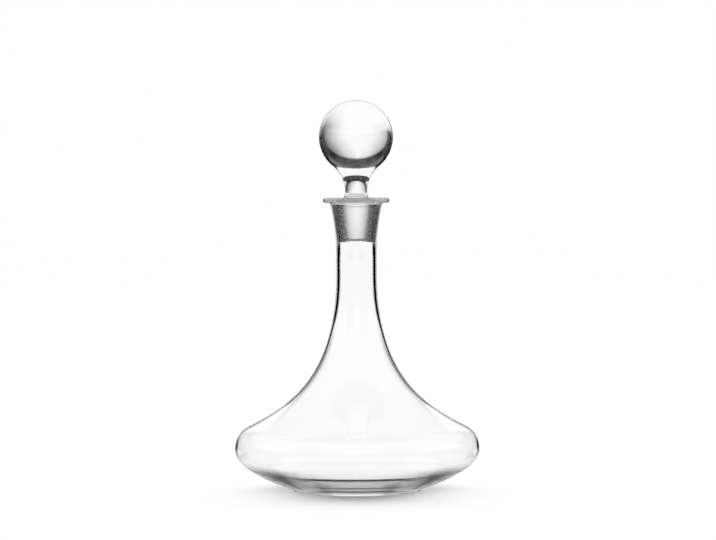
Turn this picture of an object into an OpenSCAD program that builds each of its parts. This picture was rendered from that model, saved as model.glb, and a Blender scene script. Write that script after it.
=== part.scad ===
// Ship's decanter: a wide low bottle of clear glass with a ball stopper.
// The bottle stands on its foot ring at z = 0, with its axis along Z. Sizes are in millimetres.

/* [Body] */
// Diameter of the body at its widest line
body_d = 180; // [150:1:210]
// Height of the widest line above the table
belly_z = 32; // [28:0.5:44]
// Radius of the rounded edge around the widest line
rim_r = 17; // [12:0.5:20]
// Slope of the shoulder where it leaves the rounded edge, in degrees from level
shoulder_slope = 27; // [18:1:36]
// Slope of the underside where it leaves the rounded edge, in degrees from level
underside_slope = 33; // [24:1:40]
// Wall of the body
body_wall = 1.7; // [1.4:0.1:4]

/* [Base] */
// Diameter of the foot ring
foot_d = 94; // [70:1:120]
// Height of the foot ring
foot_h = 1.8; // [1:0.1:4]
// Radius of the foot ring's rounded edge
foot_round = 0.8; // [0.3:0.1:1]
// Width of the flat face that stands on the table
foot_face = 7; // [4:0.5:12]
// Height of the hollow under the middle of the base
punt_rise = 0.5; // [0.3:0.1:2.5]
// Height of the floor inside the bottle, over the table
floor_z = 9; // [7:0.1:11]
// How far the floor's level line carries on outwards
floor_sweep = 56; // [40:1:60]
// How far the line of the wall carries on into the floor
wall_sweep = 16; // [10:0.5:22]

/* [Neck] */
// Height of the bottle, up to the top of its lip
bottle_h = 216; // [190:1:250]
// Diameter of the neck's bore
bore_d = 24.2; // [20:0.1:30]
// Wall of the neck
neck_wall = 2.9; // [2:0.1:4]
// Length of the neck's straight stretch
neck_len = 16; // [5:0.5:40]
// How far the neck's line carries on into the sweep below it
neck_sweep = 78; // [40:1:80]
// How far the shoulder's line carries on into the sweep above it
shoulder_sweep = 32; // [20:1:45]

/* [Mouth] */
// Height of the outward swell between the straight neck and the lip
mouth_len = 36; // [24:0.5:44]
// Lean of the swell where it meets the lip, in degrees from upright
mouth_lean = 13; // [6:0.5:20]
// Wall of the mouth just under the lip
mouth_wall = 3.2; // [2.5:0.1:5]
// Thickness of the lip
lip_t = 3.6; // [2.5:0.1:5]
// How far the lip reaches out past the mouth's wall
lip_reach = 5.5; // [4:0.1:10]
// Radius of the fillet under the lip
lip_fillet = 1.5; // [0.5:0.1:2]
// Radius of the rounded edge around the mouth
mouth_round = 2.5; // [1:0.1:3]

/* [Ground joint] */
// Depth of the ground seat below the top of the lip
seat_depth = 32.5; // [24:0.5:40]
// Lean of the seat's wall, in degrees from upright
seat_lean = 7.25; // [4:0.25:8]
// Gap between the plug and the seat, square to the axis
ground_gap = 0.1; // [0.05:0.01:0.3]

/* [Stopper] */
// Diameter of the ball
ball_d = 54.5; // [40:0.5:66]
// Height of the ball's centre over the waist
ball_rise = 40.3; // [34:0.1:46]
// Diameter of the waist between the ball and the plug
waist_d = 16.2; // [12:0.1:20]
// Height of the waist over the top of the lip
waist_rise = 4.4; // [4:0.1:12]
// Depth of the plug's shoulder below the top of the lip
shoulder_drop = 2.8; // [0.5:0.1:3]
// Radius of the rounded edge at the plug's shoulder
shoulder_round = 0.8; // [0.3:0.1:1.5]
// Height of the plug's end over the lower end of the seat
plug_short = 1; // [0.5:0.1:4]
// Width of the bevel around the plug's end
plug_bevel = 1; // [0.2:0.1:1]
// Height of the bevel around the plug's end
plug_bevel_h = 2; // [0.5:0.1:3]

/* [Hidden] */

$fn = 160;
// Degrees of turn between two points of an arc
arc_step = 6;
// Stretches that a free curve is divided into
curve_steps = 24;
// Share of a chord that makes a curve's two ends pull evenly
even_pull = 0.36;

body_r = body_d / 2;
foot_r = foot_d / 2;
bore_r = bore_d / 2;
neck_r = bore_r + neck_wall;

// Upper end of the straight neck, and its lower end
neck_top_z = bottle_h - lip_t - mouth_len;
neck_low_z = neck_top_z - neck_len;

// Seat: its lower end, and its radius at any height
seat_low_z = bottle_h - seat_depth;
function seat_r(z) = bore_r + max(0, z - seat_low_z) * tan(seat_lean);

// Mouth and lip
lip_under_z = bottle_h - lip_t;
mouth_r = seat_r(lip_under_z) + mouth_wall;
lip_r = mouth_r + lip_reach;

// Stopper
ball_r = ball_d / 2;
waist_r = waist_d / 2;
waist_z = bottle_h + waist_rise;
ball_z = waist_z + ball_rise;
plug_top_z = bottle_h - shoulder_drop;
plug_low_z = seat_low_z + plug_short;
function plug_r(z) = seat_r(z) - ground_gap;

// Points on an arc about c, of radius r, from angle a0 to angle a1
function arc(c, r, a0, a1) =
    let (n = max(6, ceil(abs(a1 - a0) / arc_step)))
    [for (i = [0 : n]) let (a = a0 + (a1 - a0) * i / n) c + r * [cos(a), sin(a)]];

// A cubic curve from p to q that leaves p towards p + dp and reaches q from q + dq
function cubic(p, dp, q, dq) = [p, p + dp, q + dq, q];
function cubic_at(c, t) =
    pow(1 - t, 3) * c[0] + 3 * t * pow(1 - t, 2) * c[1] + 3 * t * t * (1 - t) * c[2] + pow(t, 3) * c[3];
function cubic_way(c, t) =
    let (d = pow(1 - t, 2) * (c[1] - c[0]) + 2 * t * (1 - t) * (c[2] - c[1]) + t * t * (c[3] - c[2]))
    d / norm(d);

// Points along a cubic curve, set off to its left by w0 at its start and by w1 at its end
function along(c, w0 = 0, w1 = 0) =
    [for (i = [0 : curve_steps])
        let (t = i / curve_steps, d = cubic_way(c, t))
        cubic_at(c, t) + (w0 + (w1 - w0) * t) * [-d.y, d.x]];

function reversed(points) = [for (i = [len(points) - 1 : -1 : 0]) points[i]];
function heading(a) = [cos(a), sin(a)];

// Rounded edge of the body: where the underside and the shoulder leave it
rim_c = [body_r - rim_r, belly_z];
rim_low_a = underside_slope - 90;
rim_top_a = 90 - shoulder_slope;
rim_low = rim_c + rim_r * heading(rim_low_a);
rim_top = rim_c + rim_r * heading(rim_top_a);

// Underside, from the foot ring to the rounded edge: an even bow
foot_top = [foot_r, foot_h];
under_chord = rim_low - foot_top;
under_a = 2 * atan2(under_chord.y, under_chord.x) - underside_slope;
under_pull = even_pull * norm(under_chord);
underside = cubic(foot_top, under_pull * heading(under_a), rim_low, -under_pull * heading(underside_slope));

// Sweep from the shoulder up into the neck
sweep = cubic(
    rim_top,
    shoulder_sweep * heading(180 - shoulder_slope),
    [neck_r, neck_low_z],
    [0, -neck_sweep]
);

// Swell of the mouth, up to the fillet under the lip
fillet_c = [mouth_r + lip_fillet * cos(mouth_lean), lip_under_z - lip_fillet];
swell_end = fillet_c + lip_fillet * heading(180 - mouth_lean);
swell_pull = even_pull * (swell_end.y - neck_top_z);
swell = cubic([neck_r, neck_top_z], [0, swell_pull], swell_end, -swell_pull * heading(90 - mouth_lean));

// Hollow under the base: a shallow dome inside the foot face
punt_edge = foot_r - foot_round - foot_face;
punt_r = (pow(punt_edge, 2) + pow(punt_rise, 2)) / (2 * punt_rise);
punt_a = asin(punt_edge / punt_r);

// Floor inside the bottle, from its middle out to the rounded edge
inner_rim_r = rim_r - body_wall;
inner_rim_low = rim_c + inner_rim_r * heading(rim_low_a);
inner_floor = cubic(
    [0, floor_z],
    [floor_sweep, 0],
    inner_rim_low,
    -wall_sweep * heading(underside_slope)
);

outer_wall = concat(
    arc([0, punt_rise - punt_r], punt_r, 90, 90 - punt_a),
    arc([foot_r - foot_round, foot_round], foot_round, -90, 0),
    along(underside),
    arc(rim_c, rim_r, rim_low_a, rim_top_a),
    along(sweep),
    along(swell),
    arc(fillet_c, lip_fillet, 180 - mouth_lean, 90),
    arc([lip_r - lip_t / 2, bottle_h - lip_t / 2], lip_t / 2, -90, 90)
);

mouth_c = [seat_r(bottle_h - mouth_round) + mouth_round / cos(seat_lean), bottle_h - mouth_round];
inner_wall = concat(
    arc(mouth_c, mouth_round, 90, 180 - seat_lean),
    [[bore_r, seat_low_z]],
    reversed(along(sweep, body_wall, neck_wall)),
    arc(rim_c, inner_rim_r, rim_top_a, rim_low_a),
    reversed(along(inner_floor))
);

// Ball: the arc that fills in from the waist and runs smoothly into the ball
neck_in_r = (pow(ball_rise, 2) + pow(waist_r, 2) - pow(ball_r, 2)) / (2 * (ball_r - waist_r));
neck_in_c = [waist_r + neck_in_r, waist_z];
neck_in_a = atan2(ball_rise, -neck_in_c.x);

// Plug: the arc from its shoulder up to the waist
plug_round_z = plug_top_z - shoulder_round;
plug_round_c = [plug_r(plug_round_z) - shoulder_round / cos(seat_lean), plug_round_z];
flare_w = plug_round_c.x - waist_r;
flare_h = waist_z - plug_top_z;
flare_r = (pow(flare_w, 2) + pow(flare_h, 2)) / (2 * flare_w);
flare_a = 180 + atan2(flare_h, flare_r - flare_w);

stopper_wall = concat(
    [[0, plug_low_z]],
    [[plug_r(plug_low_z) - plug_bevel, plug_low_z]],
    [[plug_r(plug_low_z + plug_bevel_h), plug_low_z + plug_bevel_h]],
    arc(plug_round_c, shoulder_round, -seat_lean, 90),
    arc([waist_r + flare_r, waist_z], flare_r, flare_a, 180),
    arc(neck_in_c, neck_in_r, 180, neck_in_a),
    arc([0, ball_z], ball_r, neck_in_a - 180, 90)
);

module bottle() {
    color([0.86, 0.92, 0.93, 0.5])
        rotate_extrude()
            polygon(concat(outer_wall, inner_wall));
}

module stopper() {
    color([0.9, 0.94, 0.95, 0.6])
        rotate_extrude()
            polygon(stopper_wall);
}

bottle();
stopper();
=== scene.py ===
import math

import bmesh
import bpy
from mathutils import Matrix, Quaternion, Vector, geometry


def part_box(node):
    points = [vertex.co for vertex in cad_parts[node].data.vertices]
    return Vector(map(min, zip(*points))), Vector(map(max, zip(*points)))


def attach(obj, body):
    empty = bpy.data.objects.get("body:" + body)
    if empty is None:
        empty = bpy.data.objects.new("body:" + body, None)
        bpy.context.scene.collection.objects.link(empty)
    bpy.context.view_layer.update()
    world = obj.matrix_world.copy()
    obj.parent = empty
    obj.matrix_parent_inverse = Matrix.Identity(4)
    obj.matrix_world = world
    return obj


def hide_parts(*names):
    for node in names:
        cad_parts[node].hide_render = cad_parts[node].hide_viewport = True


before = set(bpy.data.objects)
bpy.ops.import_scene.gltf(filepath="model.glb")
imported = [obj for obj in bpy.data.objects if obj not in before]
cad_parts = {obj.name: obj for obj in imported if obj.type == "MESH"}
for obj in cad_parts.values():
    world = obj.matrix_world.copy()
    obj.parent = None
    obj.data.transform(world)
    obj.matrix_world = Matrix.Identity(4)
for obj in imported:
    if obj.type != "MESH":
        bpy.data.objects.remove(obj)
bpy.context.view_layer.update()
scene = bpy.context.scene
scene.view_settings.view_transform = "Standard"
print("frame loaded:", sorted(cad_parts))

# Camera: seen from just above the lip, with a long lens
camera = {
    "distance": 2.6,
    "height": 0.235,
    "lens": 177.6,
    "sensor": 36,
    "clipEnd": 50,
    "aim": (0.0011, 0.0, 0.1629),
    "roll": -0.25,       # degrees, the bottle leans a hair to the left
}


def placeCamera(c):
    data = bpy.data.cameras.new("camera")
    data.lens = c["lens"]
    data.sensor_width = c["sensor"]
    data.clip_end = c["clipEnd"]
    eye = bpy.data.objects.new("camera", data)
    scene.collection.objects.link(eye)
    eye.location = (c["aim"][0], -c["distance"], c["height"])
    look = (Vector(c["aim"]) - eye.location).to_track_quat("-Z", "Y")
    eye.rotation_mode = "QUATERNION"
    eye.rotation_quaternion = look @ Quaternion((0, 0, 1), math.radians(c["roll"]))
    scene.camera = eye


placeCamera(camera)
print("camera placed")

# Nodes are added by short helpers, so that each material reads as a list of steps


def addNode(tree, kind, **values):
    node = tree.nodes.new(kind)
    for key, value in values.items():
        node.inputs[key].default_value = value
    return node


def emptyTree(owner):
    owner.use_nodes = True
    owner.node_tree.nodes.clear()
    return owner.node_tree


def splitVector(tree, kind, socket):
    split = tree.nodes.new("ShaderNodeSeparateXYZ")
    tree.links.new(tree.nodes.new(kind).outputs[socket], split.inputs[0])
    return split.outputs[:3]


def mathNode(tree, operation, a, b=None):
    node = tree.nodes.new("ShaderNodeMath")
    node.operation = operation
    for slot, value in zip(node.inputs, (a, b)):
        if isinstance(value, (int, float)):
            slot.default_value = value
        elif value is not None:
            tree.links.new(value, slot)
    return node.outputs[0]


def times(tree, value, *factors):
    for factor in factors:
        value = mathNode(tree, "MULTIPLY", value, factor)
    return value


def larger(tree, a, b):
    return mathNode(tree, "MAXIMUM", a, b)


def isOver(tree, value, limit):
    return mathNode(tree, "GREATER_THAN", value, limit)


def isUnder(tree, value, limit):
    return mathNode(tree, "LESS_THAN", value, limit)


def apart(tree, value, middle):
    return mathNode(tree, "ABSOLUTE", mathNode(tree, "SUBTRACT", value, middle))


def hypotNode(tree, a, b):
    return mathNode(tree, "SQRT", mathNode(tree, "ADD", times(tree, a, a), times(tree, b, b)))


def blendValue(tree, share, a, b):
    rest = mathNode(tree, "SUBTRACT", 1.0, share)
    return mathNode(tree, "ADD", times(tree, rest, a), times(tree, share, b))


def fade(tree, value, fromMin, fromMax, toMin, toMax):
    node = tree.nodes.new("ShaderNodeMapRange")
    node.interpolation_type = "SMOOTHSTEP"
    tree.links.new(value, node.inputs["Value"])
    for key, number in (("From Min", fromMin), ("From Max", fromMax), ("To Min", toMin), ("To Max", toMax)):
        node.inputs[key].default_value = number
    return node.outputs["Result"]


def fadeTurn(tree, angle, span, toMin, toMax):
    return fade(tree, angle, math.radians(span[0]), math.radians(span[1]), toMin, toMax)


# World: white to the eye. Glass sees a white backdrop on each side, dark corners and a soft light overhead.
studio = {
    "dimSide": (5.0, 60.0),     # degrees over which a backdrop fades towards +X, as solid glass sees it
    "clearSide": (10.0, 76.0),  # and towards -X
    "closing": 0.8,             # how much these sides close in per degree of height
    "high": 26.0,               # degrees that it reaches up, along a bow this wide
    "bow": 48.0,
    "bowEdge": (0.9, 1.07),     # share of the bow over which it ends
    "acrossBow": 24.0,          # the same for the backdrops to the left and right
    "acrossEdge": (0.7, 1.1),
    "before": (-0.3, 0.05),     # how far round the room before the object reaches, and its upper edge
    "beforeEdge": (0.9, 1.2),
    "hollow": (13.0, 20.0),     # the sides again, as the hollow bottle sees them
    "across": (27.0, 33.0),     # the narrower backdrops to the left and right
    "topEdge": (0.93, 1.07),    # and their upper edge
    "dark": 0.02,               # the corners, as solid glass sees them
    "black": 0.003,             # and as the bottle sees them
    "overhead": (20.0, 28.0),   # degrees over which the light overhead starts, for rays turned back once
    "zenith": (58.0, 68.0),     # and ends again
    "lightLevel": 0.65,
    "level": (6.0, 14.0),       # but such rays see light all round, near to the horizon
    "round": (10.0, 20.0),      # degrees over which the room's walls end, for rays turned back more often
    "roundLevel": 0.92,
    "mirrored": (5.0, 15.0),    # degrees over which the room starts, as it is mirrored in a first surface
    "fromBehind": 0.85,         # how much more of the floor's light comes from behind than from the front
}


# angle of a direction from the nearer of the two backdrops before and behind
def turnFrom(tree, x, y):
    return mathNode(tree, "ARCTAN2", mathNode(tree, "ABSOLUTE", x), mathNode(tree, "ABSOLUTE", y))


# and from the nearer of the two to the left and right
def sideFrom(tree, turn):
    return mathNode(tree, "SUBTRACT", math.pi / 2, turn)


def softSides(tree, x, turn, s):
    clearFade = fadeTurn(tree, turn, s["clearSide"], 1.0, s["dark"])
    dimFade = fadeTurn(tree, turn, s["dimSide"], 1.0, s["dark"])
    return blendValue(tree, isOver(tree, x, 0.0), clearFade, dimFade)


def narrowBackdrops(tree, turn, s):
    behind = fadeTurn(tree, turn, s["hollow"], 1.0, s["black"])
    across = fadeTurn(tree, sideFrom(tree, turn), s["across"], 1.0, s["black"])
    return larger(tree, behind, across)


# counts of a ray's turns are whole, so one under this is none
noneYet = 0.5


# what a ray has met: any glass, one surface that mirrored it, the two of a solid piece, or more than three
def glassRays(tree, first):
    path = tree.nodes.new("ShaderNodeLightPath").outputs
    glassy = larger(tree, path["Is Glossy Ray"], path["Is Transmission Ray"])
    glassy = times(tree, glassy, isUnder(tree, path["Diffuse Depth"], noneYet))
    mirrored = isUnder(tree, path["Ray Depth"], first + noneYet)
    solid = isUnder(tree, apart(tree, path["Ray Depth"], first + 1), noneYet)
    deep = isOver(tree, path["Ray Depth"], first + 2 + noneYet)
    return glassy, mirrored, solid, deep


def isSeen(tree):
    return tree.nodes.new("ShaderNodeLightPath").outputs["Is Camera Ray"]


# the backdrops as solid glass sees them: soft to the sides, cut off above along a bow
def wideRoom(tree, x, y, rise, up, s):
    turn = turnFrom(tree, x, y)
    closed = mathNode(tree, "ADD", turn, times(tree, rise, s["closing"]))
    bow = hypotNode(tree, mathNode(tree, "DIVIDE", turn, math.radians(s["bow"])), up)
    behind = times(tree, softSides(tree, x, closed, s), fade(tree, bow, *s["bowEdge"], 1.0, s["dark"]))
    side = mathNode(tree, "DIVIDE", sideFrom(tree, turn), math.radians(s["acrossBow"]))
    across = fade(tree, hypotNode(tree, side, up), *s["acrossEdge"], 1.0, s["dark"])
    before = times(tree, fade(tree, y, *s["before"], 1.0, 0.0),
                   fade(tree, up, *s["beforeEdge"], 1.0, s["dark"]))
    return larger(tree, larger(tree, behind, across), before)


# and as the bottle sees them, with the light overhead
def narrowRoom(tree, x, y, rise, up, deep, s):
    lower = times(tree, narrowBackdrops(tree, turnFrom(tree, x, y), s),
                  fade(tree, up, *s["topEdge"], 1.0, s["dark"]))
    horizon = fadeTurn(tree, mathNode(tree, "ABSOLUTE", rise), s["level"], 1.0, 0.0)
    ring = times(tree, fadeTurn(tree, rise, s["overhead"], s["black"], s["lightLevel"]),
                 fadeTurn(tree, rise, s["zenith"], 1.0, s["dark"]))
    turnedOnce = larger(tree, larger(tree, lower, horizon), ring)
    return blendValue(tree, deep, turnedOnce, fadeTurn(tree, rise, s["round"], 1.0, s["roundLevel"]))


def makeWorld(s):
    world = bpy.data.worlds.new("studio")
    scene.world = world
    tree = emptyTree(world)
    x, y, z = splitVector(tree, "ShaderNodeTexCoord", "Generated")
    rise = mathNode(tree, "ARCSINE", z)
    climb = larger(tree, rise, 0.0)
    up = mathNode(tree, "DIVIDE", climb, math.radians(s["high"]))
    glassy, mirrored, solid, deep = glassRays(tree, 2.0)
    narrow = narrowRoom(tree, x, y, rise, up, deep, s)
    through = blendValue(tree, solid, narrow, wideRoom(tree, x, y, climb, up, s))
    above = fadeTurn(tree, rise, s["mirrored"], s["black"], 1.0)
    room = mathNode(tree, "ADD", 1.0, times(tree, y, s["fromBehind"]))
    level = blendValue(tree, glassy, blendValue(tree, isSeen(tree), room, 1.0),
                       blendValue(tree, mirrored, through, above))
    glow = addNode(tree, "ShaderNodeBackground", Color=(1, 1, 1, 1))
    tree.links.new(level, glow.inputs["Strength"])
    out = tree.nodes.new("ShaderNodeOutputWorld")
    tree.links.new(glow.outputs[0], out.inputs["Surface"])


makeWorld(studio)

# Floor: a plain white disc that keeps the bottle's shadow; glass sees it white near by and darker far out
floor = {
    "radius": 5.0,
    "drop": 0.0003,
    "segments": 96,
    "pool": (0.9, 1.5),        # distance over which it darkens, as the bottle sees it, and lights up again
    "distant": (1.5, 2.1),
    "dimSide": (0.0, 1.2),     # distance over which it darkens towards +X, as solid glass sees it
    "clearSide": (0.4, 2.6),   # and towards -X
    "before": (-0.6, 0.1),     # but it stays light before the object
    "mirrored": (26.0, 40.0),  # degrees from each axis over which it lights up, mirrored in a first surface
    "inner": (0.4, 0.6),       # but not between these distances
    "outer": (3.6, 4.4),
    "unlit": 0.03,
    "under": (0.2, 0.32),      # near by it stays lighter
    "underLevel": 0.3,
    "lift": 0.03,              # keeps it from greying in the eye's view
}


# the floor's light as glass sees it
def floorLight(tree, mirrored, solid, deep, f):
    x, y = splitVector(tree, "ShaderNodeTexCoord", "Object")[:2]
    away = hypotNode(tree, x, y)
    turn = turnFrom(tree, x, y)
    side = sideFrom(tree, turn)
    # through the bottle
    pool = larger(tree, fade(tree, away, *f["pool"], 1.0, 0.0), fade(tree, away, *f["distant"], 0.0, 1.0))
    narrow = larger(tree, larger(tree, pool, deep), narrowBackdrops(tree, turn, studio))
    # through solid glass
    far = blendValue(tree, isOver(tree, x, 0.0), fade(tree, away, *f["clearSide"], 0.0, 1.0),
                     fade(tree, away, *f["dimSide"], 0.0, 1.0))
    bowEnds = [studio["bow"] * edge for edge in studio["bowEdge"]]
    acrossEnds = [studio["acrossBow"] * edge for edge in studio["acrossEdge"]]
    behind = times(tree, softSides(tree, x, turn, studio),
                   fadeTurn(tree, turn, bowEnds, 1.0, studio["dark"]))
    wide = larger(tree, behind, fadeTurn(tree, side, acrossEnds, 1.0, studio["dark"]))
    wide = larger(tree, wide, fade(tree, y, *f["before"], 1.0, 0.0))
    through = blendValue(tree, solid, narrow, blendValue(tree, far, 1.0, wide))
    # mirrored in a first surface
    ends = larger(tree, fade(tree, away, *f["inner"], 1.0, f["unlit"]),
                  fade(tree, away, *f["outer"], 0.0, 1.0))
    nearer = mathNode(tree, "MINIMUM", turn, side)
    corner = times(tree, fadeTurn(tree, nearer, f["mirrored"], f["unlit"], 1.0), ends)
    below = larger(tree, corner, fade(tree, away, *f["under"], f["underLevel"], 0.0))
    return blendValue(tree, mirrored, through, below)


def floorPaint(f):
    paint = bpy.data.materials.new("floorWhite")
    tree = emptyTree(paint)
    glassy, mirrored, solid, deep = glassRays(tree, 1.0)
    matte = addNode(tree, "ShaderNodeBsdfDiffuse", Color=(1, 1, 1, 1))
    glow = addNode(tree, "ShaderNodeEmission", Color=(1, 1, 1, 1))
    tree.links.new(floorLight(tree, mirrored, solid, deep, f), glow.inputs["Strength"])
    mix = tree.nodes.new("ShaderNodeMixShader")
    tree.links.new(glassy, mix.inputs[0])
    tree.links.new(matte.outputs[0], mix.inputs[1])
    tree.links.new(glow.outputs[0], mix.inputs[2])
    lift = addNode(tree, "ShaderNodeEmission", Color=(1, 1, 1, 1))
    tree.links.new(times(tree, isSeen(tree), f["lift"]), lift.inputs["Strength"])
    both = tree.nodes.new("ShaderNodeAddShader")
    tree.links.new(mix.outputs[0], both.inputs[0])
    tree.links.new(lift.outputs[0], both.inputs[1])
    out = tree.nodes.new("ShaderNodeOutputMaterial")
    tree.links.new(both.outputs[0], out.inputs["Surface"])
    return paint


def makeFloor(f):
    bm = bmesh.new()
    bmesh.ops.create_circle(bm, cap_ends=True, segments=f["segments"], radius=f["radius"])
    bmesh.ops.translate(bm, verts=bm.verts, vec=(0, 0, -f["drop"]))
    mesh = bpy.data.meshes.new("floor")
    bm.to_mesh(mesh)
    bm.free()
    mesh.materials.append(floorPaint(f))
    disc = bpy.data.objects.new("floor", mesh)
    scene.collection.objects.link(disc)


makeFloor(floor)

# rays may turn back many times inside the glass
bounces = 96
scene.cycles.blur_glossy = 0
scene.cycles.max_bounces = bounces
scene.cycles.transmission_bounces = bounces
scene.cycles.glossy_bounces = bounces
print("stage ready")

# Clear glass: blown and cast, with the faint waves of its surface
clear = {
    "ior": 1.5,
    "tint": (0.996, 0.997, 1.0),
    "waveScale": 32.0,
    "waveDetail": 1.0,
    "waveStrength": 0.5,
    "waveDepth": 0.00004,
    "leastSlope": 0.1,       # keeps level faces out of a division
    "bandDepth": 3.5,        # a band counts for rays that have turned fewer times than this
}

# Light that the glass lets through to the floor: least under the thick base
shadow = {
    "sideSpan": (-0.05, 0.03),   # from before the axis to behind it, the shadow widens
    "sideSqueeze": (1.7, 1.15),
    "shift": 0.015,              # how far its middle lies before the axis
    "backSpan": (-0.02, 0.03),   # and it runs further to the back
    "backSqueeze": (1.0, 0.7),
    "spread": (0.02, 0.125),     # from its middle to its edge
    "darkest": 0.22,
    "baseTop": (0.022, 0.045),   # over these heights the glass turns clear
}


def shadowShare(tree, spot, s):
    x, y = spot["x"], spot["y"]
    aside = times(tree, x, fade(tree, y, *s["sideSpan"], *s["sideSqueeze"]))
    behind = mathNode(tree, "ADD", y, s["shift"])
    behind = times(tree, behind, fade(tree, y, *s["backSpan"], *s["backSqueeze"]))
    low = fade(tree, hypotNode(tree, aside, behind), *s["spread"], s["darkest"], 1.0)
    return larger(tree, low, fade(tree, spot["height"], *s["baseTop"], 0.0, 1.0))


# where a spot of the glass lies, and how the eye meets it
def glassSpot(tree):
    x, y, height = splitVector(tree, "ShaderNodeTexCoord", "Object")
    normalX, normalY, normalZ = splitVector(tree, "ShaderNodeNewGeometry", "Normal")
    away = hypotNode(tree, x, y)
    slope = hypotNode(tree, normalX, normalY)
    upright = larger(tree, slope, clear["leastSlope"])
    layer = tree.nodes.new("ShaderNodeLayerWeight")
    facing = mathNode(tree, "SUBTRACT", 1.0, layer.outputs["Facing"])
    # distance in from the outline
    reach = mathNode(tree, "DIVIDE", times(tree, facing, facing, away), times(tree, 2.0, upright))
    outward = mathNode(tree, "ADD", times(tree, normalX, x), times(tree, normalY, y))
    return {
        "x": x, "y": y, "height": height, "away": away, "slope": slope, "down": normalZ, "reach": reach,
        "towards": mathNode(tree, "DIVIDE", facing, upright),
        "outward": isOver(tree, outward, 0.0),
    }


# painted shade: a dark line of even width in from each outline, darkening the glass's colour
def paintedOutlineShade(tree, spot, path, line):
    reach = spot["reach"]
    for measure, span, ends in line["widths"]:
        reach = mathNode(tree, "DIVIDE", reach, fade(tree, spot[measure], *span, *ends))
    outlineShade = times(tree, fade(tree, reach, *line["start"], 0.0, 1.0),
                 fade(tree, reach, *line["end"], 1.0, 0.0))
    steep = blendValue(tree, isOver(tree, spot["height"], line["rimTop"]),
                       fade(tree, spot["slope"], *line["rimSlope"], 0.0, 1.0),
                       fade(tree, spot["slope"], *line["slope"], 0.0, 1.0))
    # on outer faces alone, and not where the shoulder mirrors the neck
    return times(tree, outlineShade, spot["outward"], steep, isUnder(tree, path["Glossy Depth"], noneYet))


# painted shade in bands between two heights and two radii, where the glass's colour is darkened
def paintedBandShade(tree, spot, path, paintedBands):
    share = 1.0
    for low, high, near, far, tone in paintedBands:
        inside = times(tree, isOver(tree, spot["height"], low), isUnder(tree, spot["height"], high),
                       isOver(tree, spot["away"], near), isUnder(tree, spot["away"], far),
                       isUnder(tree, path["Ray Depth"], clear["bandDepth"]))
        share = times(tree, share, blendValue(tree, inside, 1.0, tone))
    return share


# painted shade on the thick base, seen through the underside: a grey band in the middle and a dark wedge at
# each side
def paintedBaseShade(tree, spot, base):
    band = fade(tree, spot["height"], *base["bandTop"], *base["bandTones"])
    for level, half, tone in base["edges"]:
        core, end = (half * part for part in base["edgeSoft"])
        band = times(tree, band, fade(tree, apart(tree, spot["height"], level), core, end, tone, 1.0))
    wedge = fade(tree, spot["height"], *base["wedgeTop"], *base["wedgeTones"])
    wedge = blendValue(tree, fade(tree, spot["towards"], *base["grazing"], 1.0, 0.0), wedge, base["sideTone"])
    thick = blendValue(tree, fade(tree, spot["towards"], *base["glance"], 1.0, 0.0), band, wedge)
    cover = times(tree, spot["outward"], fade(tree, spot["down"], *base["down"], 1.0, 0.0))
    return blendValue(tree, cover, 1.0, thick)


# painted shade on the rounded rim, at the two ends of its widest line
def paintedRimShade(tree, spot, rim):
    band = fade(tree, apart(tree, spot["height"], rim["height"]), *rim["half"], 1.0, 0.0)
    ends = times(tree, band, fade(tree, spot["reach"], *rim["reach"], 1.0, 0.0), spot["outward"])
    return blendValue(tree, ends, 1.0, rim["tone"])


def clearGlass(name, piece):
    glass = bpy.data.materials.new(name)
    tree = emptyTree(glass)
    body = addNode(tree, "ShaderNodeBsdfPrincipled", Roughness=0.0, IOR=clear["ior"])
    body.inputs["Transmission Weight"].default_value = 1.0
    path = tree.nodes.new("ShaderNodeLightPath").outputs
    spot = glassSpot(tree)
    # painted shade in the glass's colour: the bands, the base's band and wedges, the rim's ends, and the dark
    # outline below
    share = paintedBandShade(tree, spot, path, piece["paintedBands"])
    if "base" in piece:
        share = times(tree, share, paintedBaseShade(tree, spot, piece["base"]),
                      paintedRimShade(tree, spot, piece["rimEndShade"]))
    onFloor = isOver(tree, path["Diffuse Depth"], noneYet)
    share = blendValue(tree, onFloor, share, shadowShare(tree, spot, shadow))
    # painted shade: the dark outline, black or grey by height
    outlineShade = paintedOutlineShade(tree, spot, path, piece["line"])
    outlineShadeTone = fade(tree, spot["height"], *piece["line"]["tone"])
    shade = tree.nodes.new("ShaderNodeCombineColor")
    for slot, tint in zip(shade.inputs[:3], clear["tint"]):
        tree.links.new(times(tree, blendValue(tree, outlineShade, tint, outlineShadeTone), share), slot)
    tree.links.new(shade.outputs[0], body.inputs["Base Color"])
    ripple = addNode(tree, "ShaderNodeTexNoise", Scale=clear["waveScale"], Detail=clear["waveDetail"])
    tree.links.new(tree.nodes.new("ShaderNodeTexCoord").outputs["Object"], ripple.inputs["Vector"])
    wave = addNode(tree, "ShaderNodeBump", Strength=clear["waveStrength"], Distance=clear["waveDepth"])
    tree.links.new(ripple.outputs["Fac"], wave.inputs["Height"])
    tree.links.new(wave.outputs["Normal"], body.inputs["Normal"])
    out = tree.nodes.new("ShaderNodeOutputMaterial")
    tree.links.new(body.outputs[0], out.inputs["Surface"])
    return glass


# Ground glass: rough, with the marks of the grinding drawn out around the axis, and painted shade where it is
# seen at a slant
ground = {
    "ior": 1.3,
    "roughness": 0.16,
    "roughSpread": 0.03,
    "slant": (-0.03, 0.2),   # painted shade: seen at a slant, the ground face's colour darkens, standing in for the light it scatters away
    "paintedSlantTone": 0.06,
    "firstDepth": 2.5,       # for rays that have turned fewer times than this
    "grainScale": (60.0, 60.0, 2400.0),
    "grainDetail": 2.0,
    "grainSpan": (0.3, 0.7),
    "markStrength": 0.3,
    "markDepth": 0.00001,
}


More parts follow.
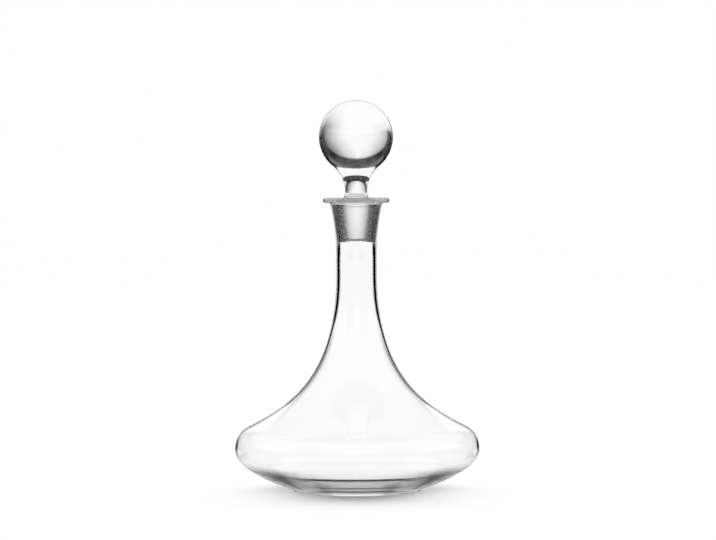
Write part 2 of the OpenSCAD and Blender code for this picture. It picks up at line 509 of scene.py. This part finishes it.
def groundGlass(name, g):
    glass = bpy.data.materials.new(name)
    tree = emptyTree(glass)
    body = addNode(tree, "ShaderNodeBsdfPrincipled", Roughness=g["roughness"], IOR=g["ior"])
    body.inputs["Transmission Weight"].default_value = 1.0
    # on the way in alone, and not where the shoulder mirrors it
    path = tree.nodes.new("ShaderNodeLightPath").outputs
    first = times(tree, isUnder(tree, path["Glossy Depth"], noneYet),
                  isUnder(tree, path["Ray Depth"], g["firstDepth"]))
    # painted shade: the colour darkens where the face is seen at a slant
    slant = tree.nodes.new("ShaderNodeLayerWeight").outputs["Facing"]
    tone = blendValue(tree, first, 1.0, fade(tree, slant, *g["slant"], 1.0, g["paintedSlantTone"]))
    shade = tree.nodes.new("ShaderNodeCombineColor")
    for slot in shade.inputs[:3]:
        tree.links.new(tone, slot)
    tree.links.new(shade.outputs[0], body.inputs["Base Color"])
    stretch = addNode(tree, "ShaderNodeMapping", Scale=g["grainScale"])
    tree.links.new(tree.nodes.new("ShaderNodeTexCoord").outputs["Object"], stretch.inputs["Vector"])
    grain = addNode(tree, "ShaderNodeTexNoise", Scale=1.0, Detail=g["grainDetail"])
    tree.links.new(stretch.outputs[0], grain.inputs["Vector"])
    smoothest, roughest = g["roughness"] - g["roughSpread"], g["roughness"] + g["roughSpread"]
    rough = fade(tree, grain.outputs["Fac"], *g["grainSpan"], smoothest, roughest)
    tree.links.new(rough, body.inputs["Roughness"])
    marks = addNode(tree, "ShaderNodeBump", Strength=g["markStrength"], Distance=g["markDepth"])
    tree.links.new(grain.outputs["Fac"], marks.inputs["Height"])
    tree.links.new(marks.outputs["Normal"], body.inputs["Normal"])
    out = tree.nodes.new("ShaderNodeOutputMaterial")
    tree.links.new(body.outputs[0], out.inputs["Surface"])
    return glass


# Profiles are runs of (radius, height) points, turned about the upright axis
sameSpot = 1e-6
mergeReach = 1e-7
fewestSteps = 6


def arcRun(centre, radius, startAngle, endAngle, step=3.0):
    count = max(fewestSteps, math.ceil(abs(endAngle - startAngle) / step))
    turns = [math.radians(startAngle + (endAngle - startAngle) * i / count) for i in range(count + 1)]
    return [Vector((centre[0] + radius * math.cos(a), 0, centre[1] + radius * math.sin(a))) for a in turns]


def heading(angle):
    return Vector((math.cos(math.radians(angle)), 0, math.sin(math.radians(angle))))


def point(radius, height):
    return Vector((radius, 0, height))


def curveRun(start, startPull, end, endPull, steps=40):
    return geometry.interpolate_bezier(start, start + startPull, end + endPull, end, steps)


def wallInside(run, startWall, endWall):
    inner = []
    last = len(run) - 1
    for i, spot in enumerate(run):
        way = (run[min(i + 1, last)] - run[max(i - 1, 0)]).normalized()
        wall = startWall + (endWall - startWall) * i / last
        inner.append(spot + wall * Vector((-way.z, 0, way.x)))
    return inner


def turnProfile(runs, sides):
    bm = bmesh.new()
    spots = []
    for run in runs:
        for spot in run:
            if not spots or (spot - spots[-1]).length > sameSpot:
                spots.append(spot)
    verts = [bm.verts.new(spot) for spot in spots]
    edges = [bm.edges.new(pair) for pair in zip(verts[:-1], verts[1:])]
    bmesh.ops.spin(bm, geom=verts + edges, cent=(0, 0, 0), axis=(0, 0, 1), angle=2 * math.pi,
                   steps=sides, use_merge=True, use_duplicate=False)
    bmesh.ops.remove_doubles(bm, verts=bm.verts, dist=mergeReach)
    bmesh.ops.recalc_face_normals(bm, faces=bm.faces)
    for face in bm.faces:
        face.smooth = True
    return bm


def finishPiece(bm, name, materials, body, node):
    mesh = bpy.data.meshes.new(name)
    bm.to_mesh(mesh)
    bm.free()
    for material in materials:
        mesh.materials.append(material)
    piece = bpy.data.objects.new(name, mesh)
    scene.collection.objects.link(piece)
    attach(piece, body)
    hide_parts(node)
    print(name, "made,", len(mesh.polygons), "faces")


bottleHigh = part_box("bottle")[1]
stopperLow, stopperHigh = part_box("stopper")

# Bottle: one blown wall from the foot ring to the lip
bottle = {
    "bodyRadius": bottleHigh.x,
    "lipTop": bottleHigh.z,
    "bellyHeight": 0.032,
    "rimRadius": 0.017,
    "shoulderSlope": 27,
    "undersideSlope": 33,
    "bodyWall": 0.0017,
    "footRadius": 0.047,
    "footHeight": 0.0018,
    "footRound": 0.0008,
    "footFace": 0.007,
    "puntRise": 0.0005,
    "floorHeight": 0.009,
    "floorSweep": 0.056,
    "wallSweep": 0.016,
    "boreRadius": 0.0121,
    "neckWall": 0.0029,
    "neckLength": 0.016,
    "neckSweep": 0.078,
    "shoulderSweep": 0.032,
    "mouthLength": 0.036,
    "mouthLean": 13,
    "mouthWall": 0.0032,
    "lipThickness": 0.0036,
    "lipReach": 0.0055,
    "lipFillet": 0.0015,
    "mouthRound": 0.0025,
    "seatDepth": 0.0325,
    "seatLean": 7.25,
    "seatSkin": 0.0003,      # a face this near to the seat's wall belongs to it
    "groundTop": 0.0042,     # depth of the upper end of the grinding below the lip
    "evenPull": 0.36,
    "sides": 224,
    "sweepSteps": 72,
    "puntStep": 0.5,         # degrees between the points of an arc
    "footStep": 15,
    "lipStep": 10,
    "mouthStep": 8,
    "line": {
        "start": (0.0001, 0.0007),          # where the painted dark outline starts and ends, in from the edge
        "end": (0.0014, 0.0022),
        "slope": (0.57, 0.64),              # how upright the glass is where it is drawn
        "rimSlope": (0.8, 0.97),            # and the same on the rim, up to this height
        "rimTop": 0.052,
        "tone": (0.181, 0.186, 0.0, 0.3),   # painted shade: black, and lighter from these heights on, at the mouth
        "widths": (("away", (0.0155, 0.02), (1.6, 1.0)),),   # wider around the narrow neck
    },
    "paintedBands": ((0.2124, 0.2161, 0.0195, 0.03, 0.24),),        # painted shade over the lip
    # painted shade on the base, seen through the underside
    "base": {
        "down": (-0.84, -0.5),           # how far down a face of the underside points
        "bandTop": (0.0137, 0.0149),     # the grey band ends over these heights
        "bandTones": (0.44, 0.97),
        # heights, half widths and tones of its edges
        "edges": ((0.0141, 0.0012, 0.0), (0.0071, 0.0008, 0.1), (0.0037, 0.001, 0.0)),
        "edgeSoft": (0.4, 1.3),
        "glance": (0.58, 0.9),           # from a slanted glance, at the wedges, to a square one at the band
        "wedgeTop": (0.0145, 0.02),      # a wedge turns paler over these heights
        "wedgeTones": (0.005, 0.25),
        "grazing": (0.15, 0.48),         # and ends towards the outline
        "sideTone": 0.8,
    },
    # painted shade at the two ends of the rim's widest line
    "rimEndShade": {"height": 0.0295, "half": (0.0022, 0.0036), "reach": (0.005, 0.01), "tone": 0.72},
}


def seatRadius(b, height):
    rise = max(0, height - b["lipTop"] + b["seatDepth"])
    return b["boreRadius"] + rise * math.tan(math.radians(b["seatLean"]))


def bottleProfile(b):
    rimCentre = point(b["bodyRadius"] - b["rimRadius"], b["bellyHeight"])
    lowAngle, topAngle = b["undersideSlope"] - 90, 90 - b["shoulderSlope"]
    rimLow = rimCentre + b["rimRadius"] * heading(lowAngle)
    rimTop = rimCentre + b["rimRadius"] * heading(topAngle)
    # underside
    footTop = point(b["footRadius"], b["footHeight"])
    chord = rimLow - footTop
    footAngle = 2 * math.degrees(math.atan2(chord.z, chord.x)) - b["undersideSlope"]
    pull = b["evenPull"] * chord.length
    underside = curveRun(footTop, pull * heading(footAngle), rimLow, -pull * heading(b["undersideSlope"]))
    # sweep into the neck
    neckRadius = b["boreRadius"] + b["neckWall"]
    neckTop = b["lipTop"] - b["lipThickness"] - b["mouthLength"]
    neckLow = neckTop - b["neckLength"]
    sweep = curveRun(rimTop, b["shoulderSweep"] * heading(180 - b["shoulderSlope"]),
                     point(neckRadius, neckLow), point(0, -b["neckSweep"]), b["sweepSteps"])
    # swell, fillet and lip
    lipUnder = b["lipTop"] - b["lipThickness"]
    mouthRadius = seatRadius(b, lipUnder) + b["mouthWall"]
    lipRadius = mouthRadius + b["lipReach"]
    lean = b["mouthLean"]
    filletReach = b["lipFillet"] * math.cos(math.radians(lean))
    filletCentre = point(mouthRadius + filletReach, lipUnder - b["lipFillet"])
    swellEnd = filletCentre + b["lipFillet"] * heading(180 - lean)
    swellPull = b["evenPull"] * (swellEnd.z - neckTop)
    swell = curveRun(point(neckRadius, neckTop), point(0, swellPull),
                     swellEnd, -swellPull * heading(90 - lean))
    half = b["lipThickness"] / 2
    # hollow under the base
    puntEdge = b["footRadius"] - b["footRound"] - b["footFace"]
    puntRadius = (puntEdge ** 2 + b["puntRise"] ** 2) / (2 * b["puntRise"])
    puntAngle = math.degrees(math.asin(puntEdge / puntRadius))
    outer = [
        arcRun((0, b["puntRise"] - puntRadius), puntRadius, 90, 90 - puntAngle, b["puntStep"]),
        arcRun((b["footRadius"] - b["footRound"], b["footRound"]), b["footRound"], -90, 0, b["footStep"]),
        underside,
        arcRun((rimCentre.x, rimCentre.z), b["rimRadius"], lowAngle, topAngle),
        sweep,
        swell,
        arcRun((filletCentre.x, filletCentre.z), b["lipFillet"], 180 - lean, 90, b["lipStep"]),
        arcRun((lipRadius - half, b["lipTop"] - half), half, -90, 90, b["lipStep"]),
    ]
    # inside, from the mouth down to the floor
    mouthRound = b["mouthRound"]
    seatLean = b["seatLean"]
    mouthHeight = b["lipTop"] - mouthRound
    mouthCentre = (seatRadius(b, mouthHeight) + mouthRound / math.cos(math.radians(seatLean)), mouthHeight)
    seatLow = b["lipTop"] - b["seatDepth"]
    groundTop = b["lipTop"] - b["groundTop"]
    innerRim = b["rimRadius"] - b["bodyWall"]
    floorEdge = rimCentre + innerRim * heading(lowAngle)
    floorMiddle = point(0, b["floorHeight"])
    floorRun = curveRun(floorMiddle, point(b["floorSweep"], 0), floorEdge,
                        -b["wallSweep"] * heading(b["undersideSlope"]))
    inner = [
        arcRun(mouthCentre, mouthRound, 90, 180 - seatLean, b["mouthStep"]),
        [point(seatRadius(b, groundTop), groundTop)],
        [point(b["boreRadius"], seatLow)],
        list(reversed(wallInside(sweep, b["bodyWall"], b["neckWall"]))),
        arcRun((rimCentre.x, rimCentre.z), innerRim, topAngle, lowAngle),
        list(reversed(floorRun)),
    ]
    return outer + inner


def makeBottle(b):
    bm = turnProfile(bottleProfile(b), b["sides"])
    groundTop = b["lipTop"] - b["groundTop"]
    seatLow = b["lipTop"] - b["seatDepth"]
    for face in bm.faces:
        centre = face.calc_center_median()
        onSeat = seatLow < centre.z < groundTop
        if onSeat and math.hypot(centre.x, centre.y) < seatRadius(b, centre.z) + b["seatSkin"]:
            face.material_index = 1
    finishPiece(bm, "blownBottle", [clearGlass("bottleGlass", b), groundGlass("groundSeat", ground)],
                "bottle", "bottle")


makeBottle(bottle)

# Stopper: one solid casting, ball, waist and ground plug
stopper = {
    "ballRadius": stopperHigh.x,
    "ballTop": stopperHigh.z,
    "plugLow": stopperLow.z,
    "waistHeight": bottleHigh.z + 0.0044,
    "waistRadius": 0.0081,
    "shoulderHeight": bottleHigh.z - 0.0028,
    "shoulderRound": 0.0008,
    "groundGap": 0.0001,
    "bevelWidth": 0.001,
    "bevelHeight": 0.002,
    "sides": 160,
    "shoulderStep": 12,      # degrees between the points of an arc
    "ballStep": 1.5,
    "line": {
        "start": (-0.001, 0.0),             # the painted dark outline starts at the edge itself
        "end": (0.0003, 0.001),
        "slope": (-0.2, -0.1),              # and is drawn however the glass lies
        "rimSlope": (-0.2, -0.1),
        "rimTop": 0.0,
        # painted shade: nearly black up to these heights, lighter above
        "tone": (0.2585, 0.2665, 0.02, 0.3),
        # painted shade: none around the waist, wide and dark on the lower half of the ball
        "widths": (("height", (0.236, 0.242), (0.05, 1.0)), ("height", (0.2585, 0.2665), (5.0, 1.0))),
    },
    "paintedBands": ((0.21, 0.2185, 0.0, 0.03, 0.5),),    # painted shade over the plug's shoulder
}


def stopperProfile(s):
    def plugRadius(height):
        return seatRadius(bottle, height) - s["groundGap"]

    ballCentre = s["ballTop"] - s["ballRadius"]
    rise = ballCentre - s["waistHeight"]
    ball, waist = s["ballRadius"], s["waistRadius"]
    hollow = (rise ** 2 + waist ** 2 - ball ** 2) / (2 * (ball - waist))
    hollowCentre = (waist + hollow, s["waistHeight"])
    hollowAngle = math.degrees(math.atan2(rise, -hollowCentre[0]))
    roundHeight = s["shoulderHeight"] - s["shoulderRound"]
    lean = math.radians(bottle["seatLean"])
    roundCentre = (plugRadius(roundHeight) - s["shoulderRound"] / math.cos(lean), roundHeight)
    flareWide = roundCentre[0] - waist
    flareHigh = s["waistHeight"] - s["shoulderHeight"]
    flare = (flareWide ** 2 + flareHigh ** 2) / (2 * flareWide)
    flareAngle = 180 + math.degrees(math.atan2(flareHigh, flare - flareWide))
    bevelTop = s["plugLow"] + s["bevelHeight"]
    groundTop = bottle["lipTop"] - bottle["groundTop"]
    return [
        [point(0, s["plugLow"])],
        [point(plugRadius(s["plugLow"]) - s["bevelWidth"], s["plugLow"])],
        [point(plugRadius(bevelTop), bevelTop)],
        [point(plugRadius(groundTop), groundTop)],
        arcRun(roundCentre, s["shoulderRound"], -bottle["seatLean"], 90, s["shoulderStep"]),
        arcRun((waist + flare, s["waistHeight"]), flare, flareAngle, 180),
        arcRun(hollowCentre, hollow, 180, hollowAngle),
        arcRun((0, ballCentre), ball, hollowAngle - 180, 90, s["ballStep"]),
    ]


def makeStopper(s):
    bm = turnProfile(stopperProfile(s), s["sides"])
    groundTop = bottle["lipTop"] - bottle["groundTop"]
    for face in bm.faces:
        if face.calc_center_median().z < groundTop:
            face.material_index = 1
    finishPiece(bm, "ballStopper", [clearGlass("stopperGlass", s), groundGlass("groundPlug", ground)],
                "stopper", "stopper")


makeStopper(stopper)
